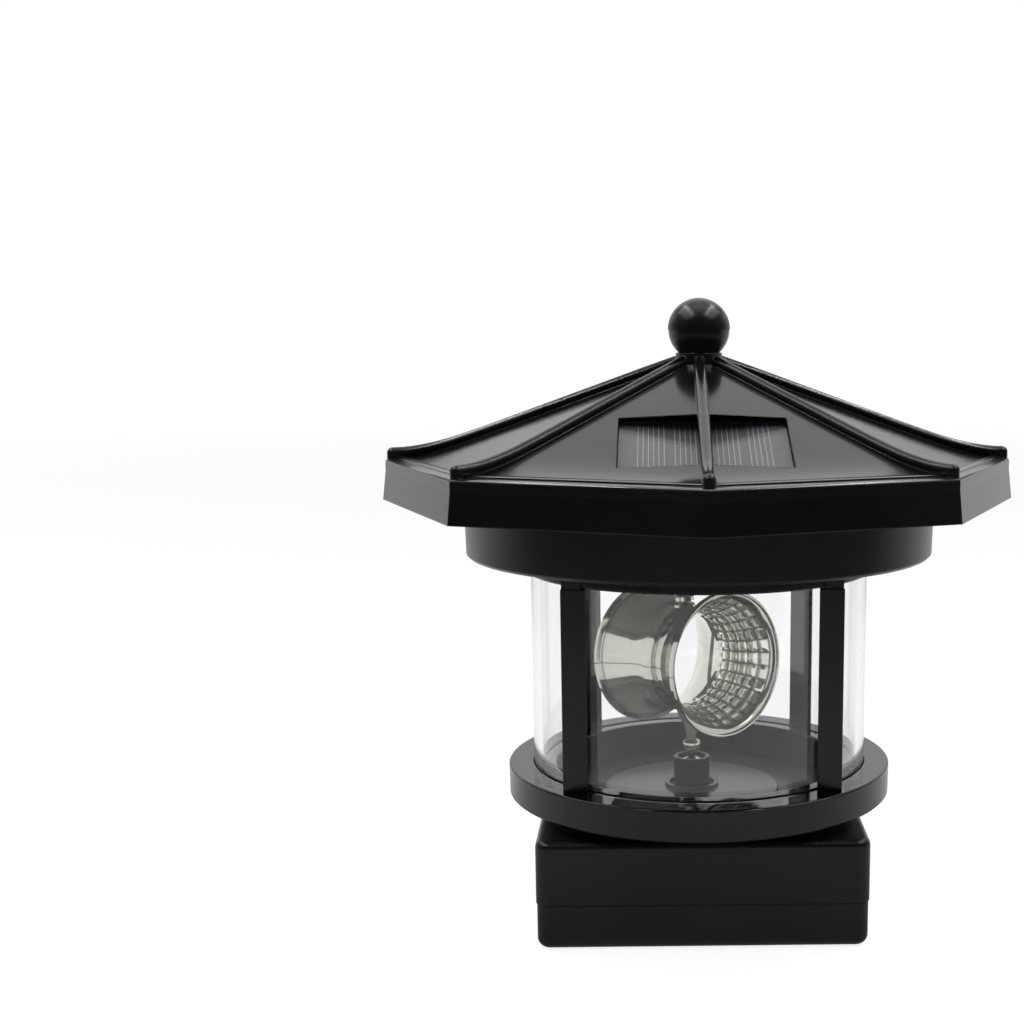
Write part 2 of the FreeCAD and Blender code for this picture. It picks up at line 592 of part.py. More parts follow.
roof_bosses = [cyl(2.7, 8.0, x, y, sof_hi + 0.1) for x, y in BOSS]
bosses = common(group(*roof_bosses), outer2)
apex = cone(6.2, d("collar_rad"), d("knob_seat") - 123.5, 0, 0, 123.5)
shell = fuse(cut(outer, fuse(hollow_low, hollow_top)), cradle, bosses, apex)
shell = cut(shell, group(window, slot, lead_hole, cyl(2.03, 10, 0, 0, 119.5),
                         *[cyl(1.05, 6.0, x, y, sof_hi - 0.5) for x, y in BOSS]))

# one rib: rounded bar laid along the ridge line, ball-ended at the eave
RIB = [(5.0, 126.35), (10.0, 124.6), (20.0, 120.97), (30.0, 117.33), (40.0, 113.7), (50.0, 110.1),
       (54.0, 108.75), (58.0, 107.55), (62.0, 106.6), (66.0, 105.95), (69.9, 105.7)]
line = Part.BSplineCurve()
line.interpolate([Vector(r, 0, z) for r, z in RIB])
path = Part.Wire([line.toShape()])
tan = line.tangent(line.FirstParameter)[0]
ring = Part.Wire([Part.makeCircle(SIZE["rib_rad"], Vector(RIB[0][0], 0, RIB[0][1]), tan)])
bar = path.makePipeShell([ring], True, False)
ball = Part.makeSphere(SIZE["rib_rad"], Vector(RIB[-1][0], 0, RIB[-1][1]))
drop = Part.makeCylinder(SIZE["rib_rad"], 1.9, Vector(RIB[-1][0], 0, RIB[-1][1] - 1.9), Vector(0, 0, 1))
rib_shape = bar.fuse([ball, drop])
ribs = []
for kk in range(8):
    s = rib_shape.copy()
    s.rotate(Vector(0, 0, 0), Vector(0, 0, 1), -90 + 45 * kk)
    ribs.append(coded(s, "rib"))
roof = node(fuse(shell, *ribs), "roof_shell")

node(group(*[screw(1.05, 2.0, 1.2, 5.5, x, y, d("eave_low") + 0.9) for x, y in BOSS]), "roof_screws")

# ball finial: two moulded halves on one spigot, upper half a touch larger
flat = d("knob_seat") - d("knob_mid")
ball_low = doc.addObject("Part::Sphere", uid("ball_low"))
ball_low.Radius = bind(ball_low, "Radius", d("knob_rad") - 0.14)
put(ball_low, 0, 0, d("knob_mid"))
low_half = common(ball_low, cyl(9, d("knob_mid") - d("knob_seat") - 0.02, 0, 0, d("knob_seat") + 0.02))
spig = cyl(2.0, 5.0, 0, 0, d("knob_seat") - 4.9)
node(cut(fuse(low_half, spig), cyl(1.3, 20, 0, 0, d("knob_mid") - 12)), "finial_lower")
ball_high = doc.addObject("Part::Sphere", uid("ball_high"))
ball_high.Radius = bind(ball_high, "Radius", d("knob_rad"))
put(ball_high, 0, 0, d("knob_mid"))
high_half = common(ball_high, cyl(9, 9, 0, 0, d("knob_mid")))
peg = cyl(1.3, 4.0, 0, 0, d("knob_mid") - 4.0)
node(cut(fuse(high_half, peg), cyl(1.0, 3.4, 0, 0, d("knob_mid") - 4.5)), "finial_upper")
node(screw(1.0, 2.2, 1.2, 12.2, 0, 0, 119.2), "finial_screw")

# solar panel: cell board with its clear cover
board = tilted(-d("panel_half"), d("panel_half"), 0.05, d("panel_long"),
               -(d("board_thick") + d("cover_thick")), -d("cover_thick"))
node(board, "solar_cell_board")
node(tilted(-d("panel_half"), d("panel_half"), 0.05, d("panel_long"), -d("cover_thick"), 0), "solar_cover")

# ------------------------------------------------------------- drive line
node(turned("hub_blank", [
    (d("hub_bore"), d("hub_low")), (d("hub_rad") + 1.1, d("hub_low")), (d("hub_rad") + 1.1, d("gear_low")),
    (d("hub_rad"), d("gear_low")), (d("hub_rad"), d("hub_top") - 0.2), (d("hub_rad") - 0.2, d("hub_top")),
    (d("hub_bore") + 0.2, d("hub_top")), (d("hub_bore"), d("hub_top") - 0.2)], AX), "rotor_hub")


def gear_shape(teeth, module, height, bore, add=0.43, ded=0.62, play=0.055, first=0.0):
    """Straight spur gear with involute flanks, 25 degree pressure angle."""
    pa = math.radians(25)
    rp = teeth * module / 2
    rb = rp * math.cos(pa)
    ra, rr = rp + add, rp - ded
    inv = lambda a: math.tan(a) - a
    half = math.pi / (2 * teeth) - play / rp

    def side(r):
        if r <= rb:
            return half + inv(pa)
        return half + inv(pa) - inv(math.acos(rb / r))
    pts = []
    for k in range(teeth):
        c = first + 2 * math.pi * k / teeth
        rs = [rr, max(rb, rr + 0.01)] + [max(rb, rr) + (ra - max(rb, rr)) * t for t in (0.35, 0.7, 1.0)]
        for r in rs:
            pts.append((r, c - side(r)))
        for r in reversed(rs):
            pts.append((r, c + side(r)))
    p = [Vector(r * math.cos(a), r * math.sin(a), 0) for r, a in pts]
    f = Part.Face(Part.makePolygon(p + [p[0]]))
    solid = f.extrude(Vector(0, 0, height))
    return solid.cut(Part.makeCylinder(bore, height * 3, Vector(0, 0, -height)))


m = SIZE["gear_module"]
big = gear_shape(40, m, SIZE["gear_thick"], SIZE["hub_rad"], first=math.radians(-90))
lighten = [Part.makeCylinder(1.1, 10, Vector(6.9 * math.cos(a), 6.9 * math.sin(a), -1))
           for a in [math.radians(60 * i) for i in range(6)]]
big = big.cut(lighten[0].fuse(lighten[1:]))
big.translate(Vector(SIZE["axis_x"], 0, SIZE["gear_low"]))
node(coded(big, "drive_gear"), "drive_gear")
small = gear_shape(10, m, SIZE["gear_thick"], 0.75, first=math.radians(90 + 18))
small.translate(Vector(SIZE["axis_x"], MOTOR_Y, SIZE["gear_low"]))
node(coded(small, "pinion"), "motor_pinion")
node(cyl(0.75, 6.0, AX, MOTOR_Y, 14.4), "motor_shaft")

can = turned("motor_can", [(0, 5.3), (d("motor_rad") - 0.8, 5.3), (d("motor_rad"), 6.1), (d("motor_rad"), 14.0),
                           (0, 14.0)], AX, MOTOR_Y)
gearbox = cyl(d("motor_rad") - 0.6, 1.7, AX, MOTOR_Y, 13.9)
ear = box(AX - 13.0, AX + 13.0, MOTOR_Y - 2.6, MOTOR_Y + 2.6, 14.8, 15.7)
motor = fuse(can, gearbox, ear)
motor = cut(motor, group(cyl(0.8, 10, AX, MOTOR_Y, 14.3), *[cyl(0.95, 3, x, y, 14) for x, y in EARS]))
node(motor, "geared_motor")
node(group(*[screw(0.8, 1.6, 0.8, 3.4, x, y, 14.8) for x, y in EARS]), "motor_screws")

spindle = turned("spindle_blank", [
    (1.2, 2.05), (3.9, 2.05), (3.9, 15.95), (d("spindle_rad"), 15.95), (d("spindle_rad"), 30.0),
    (1.95, 30.0), (1.95, 29.0), (1.2, 29.0)], AX)
node(cut(spindle, box(AX - 5, AX, -1.0, 1.0, 1.5, 4.4)), "lamp_spindle")
node(turned("washer_blank", [
    (d("spindle_rad") + 0.1, 15.97), (5.2, 15.97), (5.2, 16.37), (d("spindle_rad") + 0.1, 16.37)], AX), "thrust_washer")
led_ball = doc.addObject("Part::Sphere", uid("led_dome"))
led_ball.Radius = 1.45
put(led_ball, AX, 0, 29.75)
led = fuse(cyl(1.9, 0.55, AX, 0, 29.02), cyl(1.45, 0.7, AX, 0, 29.2), common(led_ball, cyl(3, 3, AX, 0, 29.75)),
           box(AX - 0.85, AX - 0.45, -0.2, 0.2, 24.0, 29.2), box(AX + 0.45, AX + 0.85, -0.2, 0.2, 24.0, 29.2))
node(led, "led_lamp")

# lens: two bell mouths joined by a throat, moulded in an upper and a lower half
turn = Rotation(Vector(0, 0, 1), SIZE["lens_turn"]) * Rotation(Vector(1, 0, 0), 90)
L, F = d("lens_half"), d("lens_flange")
flare = [(d("lens_throat") + (d("lens_bell") - d("lens_throat")) * (t / 5.0) ** 1.7, 0.6 + 12.2 * t / 5.0) for t in range(6)]
profile = flare + [
    (d("lens_mouth"), L - 0.05), (d("lens_mouth") + 0.25, L),
    (F - 0.25, L), (F, L - 0.3), (F, L - 1.2), (F - 0.9, L - 1.5), (11.9, 4.4), (11.9, 1.6), (d("lens_band"), 1.6),
    (d("lens_band"), -1.6), (11.9, -1.6), (11.9, -4.4), (F - 0.9, -(L - 1.5)), (F, -(L - 1.2)), (F, -(L - 0.3)),
    (F - 0.25, -L), (d("lens_mouth") + 0.25, -L), (d("lens_mouth"), -(L - 0.05))]
profile += [(r, -s) for r, s in reversed(flare)]

# the lens and its stem lean to the left from the stem ball up; the plug below it is upright
lean = Rotation(Vector(0, 1, 0), -SIZE["lens_lean"])
cl, sl = math.cos(math.radians(SIZE["lens_lean"])), math.sin(math.radians(SIZE["lens_lean"]))
bend_z = d("stem_bend")


def leant(x, y, z):
    """Where a point of the upright lens goes when the lens leans."""
    dx, dz = q(x) - AX, q(z) - bend_z
    return AX + dx * cl - dz * sl, q(y), bend_z + dz * cl + dx * sl


def leant_box(x0, x1, y0, y1, z0, z1):
    o = doc.addObject("Part::Box", uid("leant_box"))
    o.Length = bind(o, "Length", q(x1) - x0)
    o.Width = bind(o, "Width", q(y1) - y0)
    o.Height = bind(o, "Height", q(z1) - z0)
    return put(o, *leant(x0, y0, z0), lean)


sa, ca = math.sin(math.radians(SIZE["lens_turn"])), math.cos(math.radians(SIZE["lens_turn"]))
barrel_a = turned("lens_barrel_a", profile, *leant(AX, 0, d("lens_z")), lean * turn)
barrel_b = turned("lens_barrel_b", profile, *leant(AX, 0, d("lens_z")), lean * turn)
half_box_a = leant_box(AX - 30, AX + 30, -30, 30, d("lens_z") + 0.02, d("lens_z") + 30)
half_box_b = leant_box(AX - 30, AX + 30, -30, 30, d("lens_z") - 30, d("lens_z") - 0.02)
top_z, low_z = d("lens_z") + d("lens_band"), d("lens_z") - d("lens_band")
boss_top = turned("lens_boss", [
    (0, top_z - 1.2), (3.0, top_z - 1.2), (2.6, top_z + 0.3), (1.5, top_z + 0.9), (2.4, top_z + 1.2), (2.4, top_z + 2.1),
    (2.2, top_z + 2.3), (1.9, top_z + 2.3), (1.5, top_z + 1.9), (0, top_z + 1.8)], *leant(AX, 0, 0), lean)
stem_low = turned("stem_lower", [
    (0, low_z + 1.2), (3.4, low_z + 1.2), (3.0, low_z - 0.4), (2.1, low_z - 2.6), (1.55, low_z - 5.4),
    (1.2, bend_z + 1.4), (1.5, bend_z + 1.1), (2.1, bend_z + 0.6), (2.1, bend_z - 0.6), (1.5, bend_z - 1.1),
    (0, bend_z - 1.1)], *leant(AX, 0, 0), lean)
plug = turned("stem_plug", [
    (0, bend_z - 0.2), (0.9, bend_z - 0.2), (0.9, 34.0), (1.6, 33.6), (d("hub_bore"), 33.2), (d("hub_bore"), 31.9),
    (2.6, 31.6), (0, 31.6)], AX)
bore_a = cyl(d("lens_throat"), 40, *leant(AX + 20 * sa, -20 * ca, d("lens_z")), lean * turn)
node(cut(fuse(common(barrel_a, half_box_a), boss_top), bore_a), "lens_upper_half")
bore_b = cyl(d("lens_throat"), 40, *leant(AX + 20 * sa, -20 * ca, d("lens_z")), lean * turn)
node(cut(fuse(common(barrel_b, half_box_b), stem_low, plug), bore_b), "lens_lower_half")

# ---------------------------------------------------- electronics and leads
pcb = box(-19.0, 11.0, 12.5, 28.6, 19.9, 21.1)
pcb_holes = group(*[cyl(0.9, 4, x, y, 19) for x, y in PCB_POSTS])
chips = [box(-12.0, -6.5, 15.0, 20.0, 18.5, 19.95), box(-3.5, -0.5, 15.5, 18.5, 18.7, 19.95),
         box(3.0, 7.5, 14.5, 17.0, 18.4, 19.95), cyl(2.1, 2.2, 4.5, 22.0, 17.75), box(-15.0, -13.0, 21.5, 23.0, 18.9, 19.95)]
node(cut(fuse(pcb, *chips), pcb_holes), "control_board")
node(group(*[screw(0.75, 1.5, 0.8, 1.8, x, y, 19.9) for x, y in PCB_POSTS]), "board_screws")

pin_at, ax = SIZE["post_pin_at"], SIZE["axis_x"]
node(wire("panel_lead", [(-10, -31, 110.2), (-10, -31, 99.5), (-pin_at, pin_at, 99.5), (-pin_at, pin_at, 18.2),
                         (-17.5, 24.2, 18.2), (-17.5, 24.2, 19.9)], 0.5, 1.1), "panel_lead")
node(wire("motor_lead", [(ax - 4, -15.5, 5.3), (ax - 4, -15.5, 3.4), (-13.6, -6.0, 3.4), (-13.6, 6.8, 3.4),
                         (-13.6, 6.8, 18.7), (-13.6, 13.6, 18.7), (-13.6, 13.6, 19.9)], 0.5, 0.65), "motor_lead")
node(wire("lamp_lead", [(ax, 0, 23.9), (ax, 0, 3.2), (-8.6, 0, 3.2), (-11.2, 7.2, 3.2), (-11.2, 7.2, 18.7),
                        (-11.2, 13.5, 18.7), (-11.2, 13.5, 19.9)], 0.5, 0.65), "lamp_lead")
node(wire("battery_lead_plus", [(25.2, 18, 13.62), (25.2, 18, 18.4), (9.4, 18, 18.4), (9.4, 18, 19.9)], 0.5, 0.8),
     "battery_lead_plus")
node(wire("battery_lead_minus", [(-27.57, 18, 14.42), (-27.57, 18, 18.4), (-17.6, 18, 18.4), (-17.6, 18, 19.9)], 0.5, 0.8),
     "battery_lead_minus")
node(wire("switch_lead", [(-21, -20, 6.42), (-21, -20, 18.4), (-17.8, 14.2, 18.4), (-17.8, 14.2, 19.9)], 0.5, 0.8),
     "switch_lead")

doc.recompute()

bad = []
for o in doc.Objects:
    if "Invalid" in o.State or "Error" in o.State:
        bad.append("%s (%s) %s" % (o.Name, o.Label, o.State))
for o in NODES:
    if o.Shape.isNull() or not o.Shape.isValid() or not o.Shape.Solids:
        bad.append("shape of " + o.Label)
if bad:
    raise RuntimeError("failed: " + "; ".join(bad))

os.makedirs("parts", exist_ok=True)
for o in NODES:
    o.Shape.exportStep("parts/%s.step" % o.Label)
    bb = o.Shape.BoundBox
    print("%-24s solids %d volume %9.2f  z %.2f..%.2f" % (o.Label, len(o.Shape.Solids), o.Shape.Volume, bb.ZMin, bb.ZMax))
print(len(NODES), "nodes")
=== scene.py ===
import json
import math

import bmesh
import bpy
from mathutils import Matrix, Vector


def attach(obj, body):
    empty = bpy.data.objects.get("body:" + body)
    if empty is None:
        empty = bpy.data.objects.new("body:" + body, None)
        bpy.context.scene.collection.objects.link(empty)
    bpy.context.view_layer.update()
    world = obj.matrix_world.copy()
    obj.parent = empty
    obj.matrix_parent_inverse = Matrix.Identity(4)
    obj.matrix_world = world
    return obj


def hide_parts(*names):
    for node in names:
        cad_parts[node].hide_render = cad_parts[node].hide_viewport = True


# Solar garden lighthouse lantern, studio view. Metres, +Z up, front faces -Y.
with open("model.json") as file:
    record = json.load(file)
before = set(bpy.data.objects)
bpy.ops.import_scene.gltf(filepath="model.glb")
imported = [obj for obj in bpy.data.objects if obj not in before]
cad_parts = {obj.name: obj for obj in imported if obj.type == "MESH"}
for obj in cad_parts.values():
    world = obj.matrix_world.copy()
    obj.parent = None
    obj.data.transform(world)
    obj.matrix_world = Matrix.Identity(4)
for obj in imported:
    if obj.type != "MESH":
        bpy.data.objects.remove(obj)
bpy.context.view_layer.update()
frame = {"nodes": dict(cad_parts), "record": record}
nodes = frame["nodes"]
MM = 0.001
scene = bpy.context.scene


# ------------------------------------------------------------ material kit
class Mat:
    """One node material. Uniform numbers go straight onto the shader's sockets."""

    def __init__(self, name, color, rough, **sockets):
        self.m = bpy.data.materials.new(name)
        self.m.use_nodes = True
        self.t = self.m.node_tree
        self.n, self.l = self.t.nodes, self.t.links
        self.b = self.n["Principled BSDF"]
        self.b.inputs["Base Color"].default_value = (*color, 1)
        self.b.inputs["Roughness"].default_value = rough
        for k, v in sockets.items():
            self.b.inputs[k.replace("_", " ")].default_value = v
        self.co = self.n.new("ShaderNodeTexCoord").outputs["Object"]
        self.height = None

    def soft_edges(self, radius):
        """Edges of the moulding shade as if rounded by radius metres."""
        v = self.n.new("ShaderNodeBevel")
        v.samples = 6
        v.inputs["Radius"].default_value = radius
        self.height = v.outputs["Normal"]
        return self

    def noise(self, scale, detail=3.0, rough=0.5, stretch=None, distort=0.0):
        src = self.co
        if stretch:
            mp = self.n.new("ShaderNodeMapping")
            mp.inputs["Scale"].default_value = stretch
            self.l.new(src, mp.inputs["Vector"])
            src = mp.outputs["Vector"]
        t = self.n.new("ShaderNodeTexNoise")
        t.inputs["Scale"].default_value = scale
        t.inputs["Detail"].default_value = detail
        t.inputs["Roughness"].default_value = rough
        t.inputs["Distortion"].default_value = distort
        self.l.new(src, t.inputs["Vector"])
        return t.outputs["Fac"]

    def ramp(self, fac, stops):
        r = self.n.new("ShaderNodeValToRGB")
        el = r.color_ramp.elements
        while len(el) < len(stops):
            el.new(0.5)
        for e, (p, c) in zip(el, stops):
            e.position = p
            e.color = (*c, 1) if isinstance(c, tuple) else (c, c, c, 1)
        self.l.new(fac, r.inputs["Fac"])
        return r.outputs["Color"]

    def span(self, fac, lo, hi, a=0.3, b=0.7):
        r = self.n.new("ShaderNodeMapRange")
        r.inputs["From Min"].default_value = a
        r.inputs["From Max"].default_value = b
        r.inputs["To Min"].default_value = lo
        r.inputs["To Max"].default_value = hi
        self.l.new(fac, r.inputs["Value"])
        return r.outputs["Result"]

    def colour(self, out):
        self.l.new(out, self.b.inputs["Base Color"])
        return self

    def roughness(self, out):
        self.l.new(out, self.b.inputs["Roughness"])
        return self

    def bump(self, out, distance, strength=1.0):
        """Adds one layer of relief; distance is the height in metres."""
        b = self.n.new("ShaderNodeBump")
        b.inputs["Strength"].default_value = strength
        b.inputs["Distance"].default_value = distance
        self.l.new(out, b.inputs["Height"])
        if self.height is not None:
            self.l.new(self.height, b.inputs["Normal"])
        self.height = b.outputs["Normal"]
        self.l.new(self.height, self.b.inputs["Normal"])
        return self


def plastic(name, dark, light, rough, spread, grain, grain_h, wave_h, edge=0.0, **kw):
    """Moulded plastic: tone drift, uneven gloss, fine grain, long shallow waves."""
    m = Mat(name, dark, rough, **kw)
    if edge:
        m.soft_edges(edge)
    m.colour(m.ramp(m.noise(45, 4), [(0.35, dark), (0.68, light)]))
    m.roughness(m.span(m.noise(130, 5, 0.6), rough - spread, rough + spread))
    m.bump(m.noise(38, 2), wave_h)
    m.bump(m.noise(grain, 4, 0.6), grain_h)
    return m


M = {}
M["black_gloss"] = plastic("black_gloss", (0.0045, 0.0047, 0.0051), (0.0070, 0.0072, 0.0077), 0.14, 0.012, 2600, 1e-7, 1.0e-5, 4.5e-4, IOR=1.45)
M["black_satin"] = plastic("black_satin", (0.0046, 0.0048, 0.0052), (0.0068, 0.0070, 0.0075), 0.28, 0.015, 3200, 1e-7, 8e-6, 5.0e-4, IOR=1.40)
M["black_post"] = plastic("black_post", (0.0095, 0.0100, 0.0112), (0.0135, 0.0142, 0.0155), 0.24, 0.015, 2800, 1e-7, 8e-6, 4.0e-4, IOR=1.43)
M["floor_grey"] = plastic("floor_grey", (0.190, 0.191, 0.194), (0.212, 0.213, 0.216), 0.24, 0.01, 2400, 5e-8, 4e-6, 1.5e-4, IOR=1.45)
M["white_acetal"] = plastic("white_acetal", (0.72, 0.72, 0.69), (0.79, 0.79, 0.77), 0.42, 0.05, 2600, 8e-6, 3e-5)
M["rubber"] = plastic("rubber", (0.020, 0.020, 0.020), (0.032, 0.032, 0.032), 0.70, 0.06, 3600, 2e-5, 3e-5)
M["lead_black"] = plastic("lead_black", (0.016, 0.016, 0.016), (0.026, 0.026, 0.026), 0.50, 0.05, 2400, 8e-6, 3e-5)
M["lead_red"] = plastic("lead_red", (0.36, 0.020, 0.018), (0.46, 0.034, 0.028), 0.46, 0.05, 2400, 8e-6, 3e-5)
M["battery_skin"] = plastic("battery_skin", (0.07, 0.24, 0.11), (0.10, 0.30, 0.15), 0.24, 0.05, 1800, 5e-6, 5e-5)


def metal(name, color, rough, along):
    m = Mat(name, color, rough, Metallic=1.0)
    dark = tuple(c * 0.82 for c in color)
    m.colour(m.ramp(m.noise(160, 4), [(0.35, dark), (0.7, color)]))
    m.roughness(m.span(m.noise(900, 4, 0.6, along), rough - 0.07, rough + 0.09))
    m.bump(m.noise(900, 3, 0.6, along), 4e-6)
    return m


M["steel"] = metal("steel", (0.56, 0.56, 0.57), 0.30, (1, 1, 6))
M["motor_can"] = metal("motor_can", (0.50, 0.50, 0.51), 0.34, (1, 1, 9))
M["brass"] = metal("brass", (0.74, 0.55, 0.25), 0.28, (1, 1, 6))
M["contact"] = metal("contact", (0.75, 0.73, 0.69), 0.20, (6, 1, 1))

pcb = Mat("pcb", (0.02, 0.13, 0.055), 0.34)
pcb.colour(pcb.ramp(pcb.noise(420, 2), [(0.46, (0.018, 0.12, 0.05)), (0.52, (0.030, 0.19, 0.085))]))
pcb.roughness(pcb.span(pcb.noise(300, 4), 0.28, 0.42))
pcb.bump(pcb.noise(1500, 3), 1.2e-5)
M["pcb"] = pcb

# clear pieces: transmission set on the shader itself
clear = Mat("clear_acrylic", (0.93, 0.93, 0.93), 0.015, Transmission_Weight=1.0, IOR=1.49)
# painted shade: the wall is darker where it is seen edge-on, standing in for the grey look of the clear wall's edges; a
# longer way through the wall takes some of the light too
edge_on_shade = clear.n.new("ShaderNodeLayerWeight")
edge_on_shade.inputs["Blend"].default_value = 0.5
clear.colour(clear.ramp(edge_on_shade.outputs["Facing"], [(0.25, 0.985), (0.50, 0.93), (0.80, 0.84)]))
clear.roughness(clear.span(clear.noise(90, 5), 0.008, 0.03))
clear.bump(clear.noise(30, 2), 1.5e-5)
M["clear_acrylic"] = clear


def lets_light_in(m):
    """Lamp light and soft light pass straight through a clear wall onto what stands behind it."""
    lp, mx, tr = m.n.new("ShaderNodeLightPath"), m.n.new("ShaderNodeMixShader"), m.n.new("ShaderNodeBsdfTransparent")
    both = m.n.new("ShaderNodeMath")
    both.operation = "MAXIMUM"
    m.l.new(lp.outputs["Is Shadow Ray"], both.inputs[0])
    m.l.new(lp.outputs["Is Diffuse Ray"], both.inputs[1])
    m.l.new(both.outputs[0], mx.inputs["Fac"])
    m.l.new(m.b.outputs[0], mx.inputs[1])
    m.l.new(tr.outputs[0], mx.inputs[2])
    m.l.new(mx.outputs[0], m.n["Material Output"].inputs["Surface"])


lets_light_in(clear)
smoke = Mat("smoke_clear", (0.66, 0.66, 0.61), 0.06, Transmission_Weight=1.0, IOR=1.5, Metallic=0.72)
smoke.colour(smoke.ramp(smoke.noise(50, 3), [(0.3, (0.61, 0.61, 0.555)), (0.7, (0.70, 0.70, 0.650))]))
smoke.roughness(smoke.span(smoke.noise(140, 5), 0.03, 0.10))
smoke.bump(smoke.noise(260, 3), 1.2e-5)
smoke.bump(smoke.noise(1300, 4, 0.65), 2.5e-6)
M["smoke_clear"] = smoke
cover = Mat("cover_clear", (0.95, 0.96, 0.97), 0.06, Transmission_Weight=1.0, IOR=1.16)
cover.roughness(cover.span(cover.noise(110, 5), 0.03, 0.09))
cover.bump(cover.noise(70, 2), 5e-6)
M["cover_clear"] = cover
lets_light_in(cover)
led = Mat("led", (0.95, 0.94, 0.84), 0.10, Transmission_Weight=0.85, IOR=1.5)
led.roughness(led.span(led.noise(400, 3), 0.07, 0.16))
M["led"] = led
cell = Mat("cell_dark", (0.082, 0.080, 0.080), 0.45)
cell.b.inputs["Specular IOR Level"].default_value = 0.12
cell.colour(cell.ramp(cell.noise(380, 5, 0.7), [(0.3, (0.078, 0.076, 0.075)), (0.7, (0.090, 0.088, 0.088))]))
cell.roughness(cell.span(cell.noise(600, 4), 0.40, 0.55))
cell.bump(cell.noise(2200, 3), 1e-6)
M["cell_dark"] = cell
finger = Mat("cell_finger", (0.27, 0.31, 0.36), 0.45)
finger.b.inputs["Specular IOR Level"].default_value = 0.2
finger.colour(finger.ramp(finger.noise(500, 3), [(0.35, (0.25, 0.29, 0.34)), (0.65, (0.31, 0.35, 0.40))]))
finger.bump(finger.noise(2000, 3), 1e-6)

# the deck: polished top, satin rim, and a greyer recess under the clear cylinder
deck = plastic("deck_black", (0.0045, 0.0047, 0.0051), (0.0070, 0.0072, 0.0077), 0.16, 0.01, 2600, 5e-8, 5e-6, 4.0e-4, IOR=1.45)
xyz = deck.n.new("ShaderNodeSeparateXYZ")
deck.l.new(deck.co, xyz.inputs[0])
flat = deck.n.new("ShaderNodeCombineXYZ")
deck.l.new(xyz.outputs["X"], flat.inputs["X"])
deck.l.new(xyz.outputs["Y"], flat.inputs["Y"])
length = deck.n.new("ShaderNodeVectorMath")
length.operation = "LENGTH"
deck.l.new(flat.outputs[0], length.inputs[0])
ring = deck.span(length.outputs["Value"], 1.0, 0.0, 0.03365, 0.03375)
tone = deck.n.new("ShaderNodeMix")
tone.data_type = "RGBA"
deck.l.new(ring, tone.inputs["Factor"])
deck.l.new(deck.b.inputs["Base Color"].links[0].from_socket, tone.inputs["A"])
deck.l.new(deck.ramp(deck.noise(45, 4), [(0.35, (0.098, 0.101, 0.106)), (0.68, (0.115, 0.118, 0.123))]), tone.inputs["B"])
deck.colour(tone.outputs["Result"])
deck.roughness(deck.span(xyz.outputs["Z"], 0.27, 0.05, 0.0330, 0.0338))

# the ball: same plastic, slightly duller
ball = plastic("ball_black", (0.0050, 0.0052, 0.0056), (0.0075, 0.0077, 0.0082), 0.25, 0.012, 2600, 3e-7, 8e-6, 1.5e-4, IOR=1.47)
own = {"gallery_deck": deck, "finial_lower": ball, "finial_upper": ball}

slot_of = {}
for row in frame["record"]["subparts"]:
    slot_of[row["node"]] = row["material_slot"]
for name, ob in nodes.items():
    ob.data.materials.clear()
    ob.data.materials.append(own.get(name, M[slot_of[name]]).m)


# ---------------------------------------------------------------- mesh kit
def piece(name, bm, mat, body, nodes_replaced=(), smooth_deg=35):
    bmesh.ops.recalc_face_normals(bm, faces=bm.faces)
    me = bpy.data.meshes.new(name)
    bm.to_mesh(me)
    bm.free()
    ob = bpy.data.objects.new(name, me)
    scene.collection.objects.link(ob)
    me.materials.append(mat)
    me.polygons.foreach_set("use_smooth", [True] * len(me.polygons))
    if smooth_deg:
        me.set_sharp_from_angle(angle=math.radians(smooth_deg))
    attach(ob, body)
    if nodes_replaced:
        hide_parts(*nodes_replaced)
    return ob


def revolve(bm, pts, seg=64):
    """Closed turned solid from (radius, height) points that start and end on the axis."""
    rings = []
    for r, z in pts:
        if r < 1e-9:
            rings.append([bm.verts.new((0, 0, z))])
        else:
            rings.append([bm.verts.new((r * math.cos(2 * math.pi * k / seg), r * math.sin(2 * math.pi * k / seg), z))
                          for k in range(seg)])
    for a, b in zip(rings, rings[1:]):
        for k in range(seg):
            j = (k + 1) % seg
            if len(a) == 1:
                bm.faces.new((a[0], b[k], b[j]))
            elif len(b) == 1:
                bm.faces.new((a[k], b[0], a[j]))
            else:
                bm.faces.new((a[k], b[k], b[j], a[j]))


def calc(tree, op, *args):
    """One math node; sockets are linked, numbers are set."""
    n = tree.nodes.new("ShaderNodeMath")
    n.operation = op
    for i, a in enumerate(args):
        if isinstance(a, (int, float)):
            n.inputs[i].default_value = a
        else:
            tree.links.new(a, n.inputs[i])
    return n.outputs[0]


def ease(tree, out, a, b, lo, hi):
    """Smooth step from lo at a to hi at b."""
    n = tree.nodes.new("ShaderNodeMapRange")
    n.interpolation_type = "SMOOTHSTEP"
    for k, v in (("From Min", a), ("From Max", b), ("To Min", lo), ("To Max", hi)):
        n.inputs[k].default_value = v
    tree.links.new(out, n.inputs["Value"])
    return n.outputs["Result"]


# -------------------------------------------------------------------- lens
AX, LZ, TURN, LEAN, BEND = -1.7, 57.9, math.radians(40.5), math.radians(3.0), 36.8
LH, FL, MOUTH, BELL, THROAT, BAND = 14.2, 16.8, 15.9, 15.0, 10.4, 12.5
AROUND, ROWS, SUB = 28, 5, 6
GROOVE = 0.28


ROW_LOW, ROW_HIGH = 0.6, 12.5


def bell_radius(s):
    return THROAT + (BELL - THROAT) * max(0.0, (s - 0.6) / 12.2) ** 1.7


